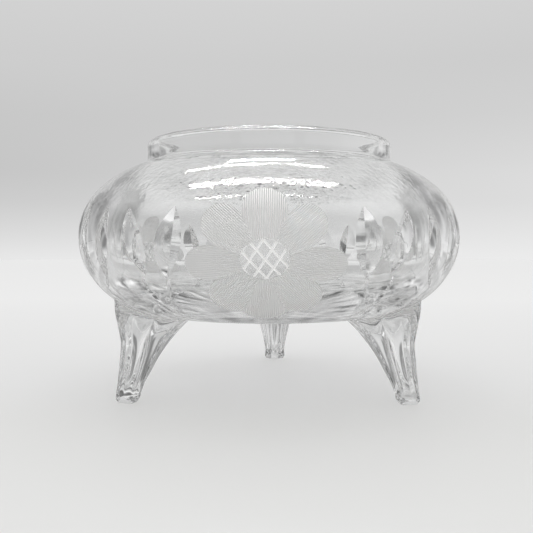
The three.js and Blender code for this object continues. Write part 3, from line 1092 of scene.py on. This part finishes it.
# Under the bowl its cuts throw light and shade in streaks on the paper; only the glass itself looks at them.
turn = stage_math("MULTIPLY", stage_math("ARCTAN2", sep.outputs["X"], sep.outputs["Y"]), 0.09)
away = nt.nodes.new("ShaderNodeVectorMath")
away.operation = "LENGTH"
nt.links.new(co.outputs["Object"], away.inputs[0])
polar = nt.nodes.new("ShaderNodeCombineXYZ")
nt.links.new(turn, polar.inputs[0])
nt.links.new(stage_math("MULTIPLY", away.outputs["Value"], STREAK_LONG), polar.inputs[1])
streaks = nt.nodes.new("ShaderNodeTexNoise")
streaks.inputs["Scale"].default_value = STREAK_SCALE
streaks.inputs["Detail"].default_value = 2.0
nt.links.new(polar.outputs[0], streaks.inputs["Vector"])
streak = nt.nodes.new("ShaderNodeValToRGB")
el = streak.color_ramp.elements
for i, (at, v) in enumerate(STREAK_TONES):
    e = el[i] if i < 2 else el.new(at)
    e.position = at
    e.color = (v, v, v, 1)
nt.links.new(streaks.outputs["Fac"], streak.inputs["Fac"])
under = nt.nodes.new("ShaderNodeMapRange")
under.inputs["From Min"].default_value = 0.16
under.inputs["From Max"].default_value = 0.11
nt.links.new(away.outputs["Value"], under.inputs["Value"])
outside = nt.nodes.new("ShaderNodeMapRange")  # none right under the middle, where they would all meet
outside.inputs["From Min"].default_value = 0.022
outside.inputs["From Max"].default_value = 0.05
nt.links.new(away.outputs["Value"], outside.inputs["Value"])
streak_or_not = nt.nodes.new("ShaderNodeMix")
streak_or_not.data_type = "FLOAT"
nt.links.new(stage_math("MULTIPLY", under.outputs["Result"], outside.outputs["Result"]), streak_or_not.inputs[0])
streak_or_not.inputs[2].default_value = 0.97
nt.links.new(streak.outputs["Color"], streak_or_not.inputs[3])
in_glass = stage_math("MULTIPLY", glass_floor_shade.outputs["Color"], streak_or_not.outputs[0])


def far_painted_bands(stops):
    """Painted shade in dark bands and painted light in slightly lighter ones, on the paper far behind the bowl, as a
    tone by distance.
    """
    far = nt.nodes.new("ShaderNodeMapRange")
    far.inputs["From Min"].default_value = 0.5
    far.inputs["From Max"].default_value = 1.2
    nt.links.new(sep.outputs["Y"], far.inputs["Value"])
    ramp_ = nt.nodes.new("ShaderNodeValToRGB")
    el_ = ramp_.color_ramp.elements
    for i_, (y_, v_) in enumerate(stops):
        e_ = el_[i_] if i_ < 2 else el_.new((y_ - 0.5) / 0.7)
        e_.position = (y_ - 0.5) / 0.7
        e_.color = (v_, v_, v_, 1)
    nt.links.new(far.outputs["Result"], ramp_.inputs["Fac"])
    return ramp_.outputs["Color"]


sides = nt.nodes.new("ShaderNodeMapRange")
sides.inputs["From Min"].default_value = 0.15
sides.inputs["From Max"].default_value = 0.21
nt.links.new(stage_math("ABSOLUTE", sep.outputs["X"]), sides.inputs["Value"])
far_mix = nt.nodes.new("ShaderNodeMix")
far_mix.data_type = "FLOAT"
nt.links.new(sides.outputs["Result"], far_mix.inputs[0])
nt.links.new(far_painted_bands(FAR_MIDDLE), far_mix.inputs[2])
nt.links.new(far_painted_bands(FAR_SIDES), far_mix.inputs[3])
in_glass = stage_math("MULTIPLY", in_glass, far_mix.outputs[0])
path = nt.nodes.new("ShaderNodeLightPath")
soaked = nt.nodes.new("ShaderNodeMath")
soaked.operation = "GREATER_THAN"
soaked.inputs[1].default_value = 0.5
nt.links.new(path.outputs["Diffuse Depth"], soaked.inputs[0])
direct = nt.nodes.new("ShaderNodeMath")
direct.operation = "MAXIMUM"
nt.links.new(path.outputs["Is Camera Ray"], direct.inputs[0])
nt.links.new(soaked.outputs[0], direct.inputs[1])
share = nt.nodes.new("ShaderNodeMix")
share.data_type = "FLOAT"
nt.links.new(direct.outputs[0], share.inputs[0])
nt.links.new(in_glass, share.inputs[2])
share.inputs[3].default_value = 1.0
nt.links.new(share.outputs[0], p.inputs["Emission Strength"])
tone = nt.nodes.new("ShaderNodeVectorMath")
tone.operation = "SCALE"
tone.inputs[0].default_value = (FLOOR_BASE, FLOOR_BASE, FLOOR_BASE * 0.99)
nt.links.new(share.outputs[0], tone.inputs["Scale"])
nt.links.new(tone.outputs[0], p.inputs["Base Color"])
nt.links.new(p.outputs["BSDF"], o_.inputs["Surface"])
disc("stage_floor", 1.6, -0.00008, floor_mat)


def emitter(name, strength, color=(1, 1, 1)):
    """Light that the glass sees, but that the floor isn't lit by, so that its soft shadow stays plain."""
    mat, nt_, out_ = node_material(name)
    em = nt_.nodes.new("ShaderNodeEmission")
    em.inputs["Color"].default_value = (*color, 1)
    path = nt_.nodes.new("ShaderNodeLightPath")
    less = nt_.nodes.new("ShaderNodeMath")
    less.operation = "LESS_THAN"
    less.inputs[1].default_value = 0.5
    times = nt_.nodes.new("ShaderNodeMath")
    times.operation = "MULTIPLY"
    times.inputs[1].default_value = strength
    nt_.links.new(path.outputs["Diffuse Depth"], less.inputs[0])
    nt_.links.new(less.outputs[0], times.inputs[0])
    nt_.links.new(times.outputs[0], em.inputs["Strength"])
    nt_.links.new(em.outputs["Emission"], out_.inputs["Surface"])
    return mat


def card(name, quads, mat):
    """Flat quads that only the glass sees: each is a centre and two half sides, in metres."""
    verts, faces = [], []
    for c_, u_, v_ in quads:
        c_, u_, v_ = map(np.array, (c_, u_, v_))
        n_ = len(verts)
        verts += [tuple(c_ - u_ - v_), tuple(c_ + u_ - v_), tuple(c_ + u_ + v_), tuple(c_ - u_ + v_)]
        faces.append((n_, n_ + 1, n_ + 2, n_ + 3))
    mesh_ = bpy.data.meshes.new(name)
    mesh_.from_pydata(verts, [], faces)
    mesh_.materials.append(mat)
    obj_ = bpy.data.objects.new(name, mesh_)
    scene.collection.objects.link(obj_)
    obj_.visible_camera = False
    obj_.visible_diffuse = False
    obj_.visible_shadow = False
    return obj_


def led_panel(name, y0, depth, z0, x0, x1, pitch, rows, size, strength, color=(1, 1, 1)):
    """Rows of small lamps on the ceiling of the tent, staggered row by row."""
    quads = []
    for r_ in range(rows):
        y = y0 + depth * (r_ / max(1, rows - 1) - 0.5)
        for i in range(int((x1 - x0) / pitch) + 1):
            wob = math.sin((i + 31 * r_) * 12.9898) * 43758.5453
            wob = wob - math.floor(wob) - 0.5
            x = x0 + (i + 0.5 * (r_ % 2)) * pitch
            quads.append(((x * MM, (y + wob * depth / rows) * MM, z0 * MM), (size * MM, 0, 0), (0, size * MM, 0)))
    card(name, quads, emitter(name + "_light", strength, color))


led_panel("stage_led_top", -70.0, 34.0, 300.0, -150.0, 116.0, 6.6, 6, 1.3, 110.0)
led_panel("stage_led_front", -187.0, 14.0, 300.0, -180.0, 104.0, 5.4, 3, 1.3, 80.0)
led_panel("stage_led_line", 66.0, 5.0, 300.0, -122.0, 78.0, 5.8, 2, 1.3, 90.0)
led_panel("stage_led_back", 112.0, 16.0, 300.0, -54.0, 30.0, 5.4, 4, 1.5, 100.0, (0.82, 0.91, 1.0))

WALL_LIT = 0.9
SIDE_WALLS = [  # how much darker the tent's sides and their seams are, from straight behind to fully sideways
    (0.50, 0.0), (1.0, 0.26), (0.545, 0.30), (0.60, 0.62), (0.638, 0.62), (0.655, 0.28), (0.682, 0.24),
    (0.70, 0.60), (0.745, 0.68), (0.775, 0.30), (0.82, 0.12), (0.90, 0.25),
]
PALE_LEAN, PALE_FRONT = 0.7, 0.55  # on things, light falls a little from behind at the top and from the front below
world = bpy.data.worlds.new("light_tent")
scene.world = world
world.use_nodes = True
nt = world.node_tree
nt.nodes.clear()


def tone_ramp(fac, stops):
    node = nt.nodes.new("ShaderNodeValToRGB")
    el_ = node.color_ramp.elements
    for i_, (pos_, col_) in enumerate(stops):
        e_ = el_[i_] if i_ < 2 else el_.new(pos_)
        e_.position = pos_
        e_.color = (*(col_ if isinstance(col_, tuple) else (col_,) * 3), 1)
    nt.links.new(fac, node.inputs["Fac"])
    return node.outputs["Color"]


def math_node(kind_, a_in, b_in, clamp=False):
    node = nt.nodes.new("ShaderNodeMath")
    node.operation = kind_
    node.use_clamp = clamp
    for k_, v_ in enumerate((a_in, b_in)):
        if isinstance(v_, (int, float)):
            node.inputs[k_].default_value = v_
        else:
            nt.links.new(v_, node.inputs[k_])
    return node.outputs[0]


co = nt.nodes.new("ShaderNodeTexCoord")
sep = nt.nodes.new("ShaderNodeSeparateXYZ")
nt.links.new(co.outputs["Generated"], sep.inputs["Vector"])
height = math_node("MULTIPLY_ADD", sep.outputs["Z"], 0.5)
nt.nodes[-1].inputs[2].default_value = 0.5
pale = tone_ramp(height, [
    (0.485, 0.82), (1.0, 2.2), (0.502, 0.75), (0.525, 0.668), (0.552, 0.635), (0.587, 0.61),
    (0.625, 0.615), (0.665, 0.65), (0.76, 1.15),
])
tent = tone_ramp(height, [
    (0.485, 0.82), (1.0, 0.20), (0.502, 0.75), (0.525, 0.668), (0.552, 0.635), (0.587, 0.61),
    (0.625, 0.60), (0.72, 0.58), (0.80, 0.42), (0.88, 0.24),
])
# towards the camera the tent is open, above table height
open_y = math_node("MULTIPLY_ADD", sep.outputs["Y"], -3.3)
nt.nodes[-1].inputs[2].default_value = -0.8
nt.nodes[-1].use_clamp = True
open_z = math_node("MULTIPLY_ADD", sep.outputs["Z"], 9.0)
nt.nodes[-1].inputs[2].default_value = -0.35
nt.nodes[-1].use_clamp = True
opening = math_node("MULTIPLY", open_y, open_z)
dim = math_node("MULTIPLY_ADD", opening, -0.85)
nt.nodes[-1].inputs[2].default_value = 1.0
lean = tone_ramp(height, [(0.45, 0.0), (1.0, 0.0), (0.485, 0.05), (0.50, 0.12), (0.545, 0.30), (0.58, 0.16), (0.62, 0.0)])
# beyond the paper backdrop the tent's side walls are greyer
wall_x = math_node("ABSOLUTE", sep.outputs["X"], 0.0)
wall_x = tone_ramp(wall_x, SIDE_WALLS)
wall_z = tone_ramp(sep.outputs["Z"], [(0.03, 0.0), (1.0, 0.0), (0.11, 1.0), (0.36, 1.0), (0.42, 0.0)])
walls = math_node("MULTIPLY", wall_x, wall_z)
low_x = math_node("ABSOLUTE", sep.outputs["X"], 0.0)
low_x = tone_ramp(low_x, [(0.40, 0.0), (1.0, 0.0), (0.44, 0.63), (0.54, 0.63), (0.60, 0.0)])
low_z = tone_ramp(sep.outputs["Z"], [(0.0, 1.0), (1.0, 0.0), (0.12, 1.0), (0.18, 0.0)])
low = math_node("MULTIPLY", low_x, low_z)
walls = math_node("MAXIMUM", walls, low)
grey = math_node("MULTIPLY_ADD", walls, -1.0)
nt.nodes[-1].inputs[2].default_value = 1.0
# higher up those walls catch the lamps
lit_x = math_node("ABSOLUTE", sep.outputs["X"], 0.0)
lit_x = tone_ramp(lit_x, [(0.50, 0.0), (1.0, 0.8), (0.60, 1.0)])
lit_z = tone_ramp(sep.outputs["Z"], [(0.39, 0.0), (1.0, 0.0), (0.44, 1.0), (0.70, 1.0), (0.80, 0.0)])
lit = math_node("MULTIPLY", lit_x, lit_z)
lit = math_node("MULTIPLY", lit, WALL_LIT)
grey = math_node("ADD", grey, lit)
dim = math_node("MULTIPLY", dim, grey)
side = math_node("MULTIPLY", sep.outputs["X"], lean)
side = math_node("ADD", side, 1.0)
side_dim = math_node("MULTIPLY", side, dim)
path = nt.nodes.new("ShaderNodeLightPath")
after_floor = math_node("GREATER_THAN", path.outputs["Diffuse Depth"], 0.5)
plain_ray = math_node("MAXIMUM", after_floor, path.outputs["Is Camera Ray"])
plain_ray = math_node("MAXIMUM", plain_ray, path.outputs["Is Diffuse Ray"])
bg_tent = nt.nodes.new("ShaderNodeBackground")
bg_pale = nt.nodes.new("ShaderNodeBackground")
either = nt.nodes.new("ShaderNodeMixShader")
w_out = nt.nodes.new("ShaderNodeOutputWorld")
nt.links.new(tent, bg_tent.inputs["Color"])
nt.links.new(side_dim, bg_tent.inputs["Strength"])
nt.links.new(pale, bg_pale.inputs["Color"])
high_up = math_node("MULTIPLY_ADD", sep.outputs["Z"], PALE_LEAN + PALE_FRONT)
nt.nodes[-1].inputs[2].default_value = -PALE_FRONT
behind = math_node("MULTIPLY", sep.outputs["Y"], high_up)
behind = math_node("MULTIPLY", behind, after_floor)
behind = math_node("ADD", behind, side)
nt.links.new(behind, bg_pale.inputs["Strength"])
nt.links.new(plain_ray, either.inputs[0])
nt.links.new(bg_tent.outputs["Background"], either.inputs[1])
nt.links.new(bg_pale.outputs["Background"], either.inputs[2])
nt.links.new(either.outputs[0], w_out.inputs["Surface"])

FOCAL_PX, CAM_D, CAM_H, CAM_PITCH, CAM_YAW, AXIS_PX = 659.0, 270.0, 60.8, 0.0455, 1.3, 2.5
cam_data = bpy.data.cameras.new("camera")
cam = bpy.data.objects.new("camera", cam_data)
scene.collection.objects.link(cam)
scene.camera = cam
cam_data.sensor_width = 36.0
cam_data.sensor_fit = "HORIZONTAL"
cam_data.lens = FOCAL_PX / 533 * 36
cam_data.clip_start = 0.01
cam_data.clip_end = 20
cam_data.shift_x = -AXIS_PX / 533
yaw = CAM_YAW * RAD  # the bowl stands turned a little: the camera goes round it instead
cam.location = (CAM_D * math.sin(yaw) * MM, -CAM_D * math.cos(yaw) * MM, CAM_H * MM)
cam.rotation_euler = (math.pi / 2 - CAM_PITCH, 0, yaw)

scene.view_settings.view_transform = "Standard"
scene.view_settings.look = "None"
scene.cycles.max_bounces = 96
scene.cycles.transmission_bounces = 96
scene.cycles.glossy_bounces = 96
scene.cycles.transparent_max_bounces = 32
scene.cycles.sample_clamp_indirect = 4.0
